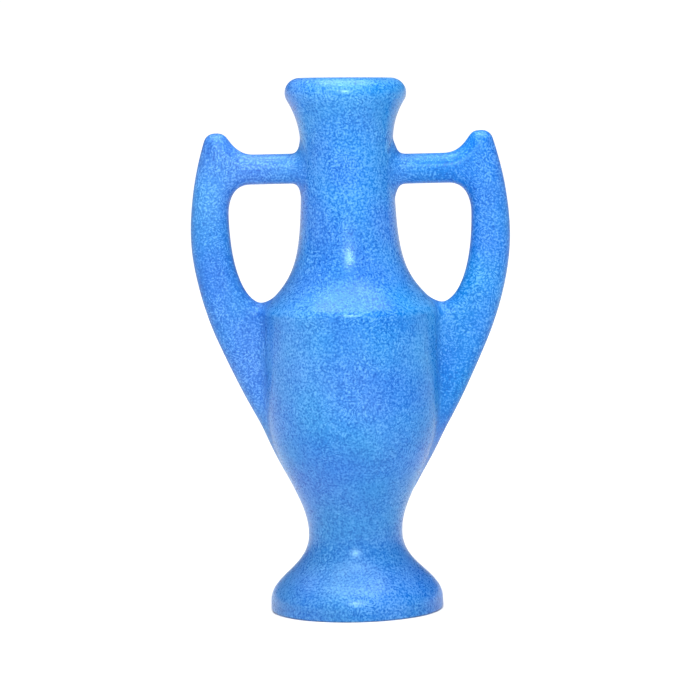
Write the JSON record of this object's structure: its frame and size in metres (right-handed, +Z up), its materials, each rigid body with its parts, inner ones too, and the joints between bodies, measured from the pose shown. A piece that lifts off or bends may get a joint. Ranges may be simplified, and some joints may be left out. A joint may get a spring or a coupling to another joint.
{
  "type": "two-handled amphora",
  "caption": "Tall blue glazed pottery vase with a slim flared neck, a sharp shoulder, a pedestal foot and two looped wing handles that end in spurs.",
  "frame": {"origin": "centre of the circle that the foot stands on", "axes": "+Z up along the axis of the thrown body, X along the two handles, Y through the plain front and back"},
  "size_m": [0.1794, 0.099, 0.3],
  "materials": {
    "body_glaze": "satin mottled sky-blue glaze, paler where it thins on the lip, the shoulder and the neck",
    "handle_glaze": "the same satin blue glaze, a little deeper along the outer edges",
    "foot_glaze": "the same satin blue glaze outside, wiped to bare buff clay on the standing ring"
  },
  "bodies": {
    "root": {"pedestal_foot": "foot_glaze", "lower_body": "body_glaze", "shoulder": "body_glaze", "neck": "body_glaze", "lip": "body_glaze", "right_upright": "handle_glaze", "right_crossbar": "handle_glaze", "left_upright": "handle_glaze", "left_crossbar": "handle_glaze"}
  },
  "joints": []
}
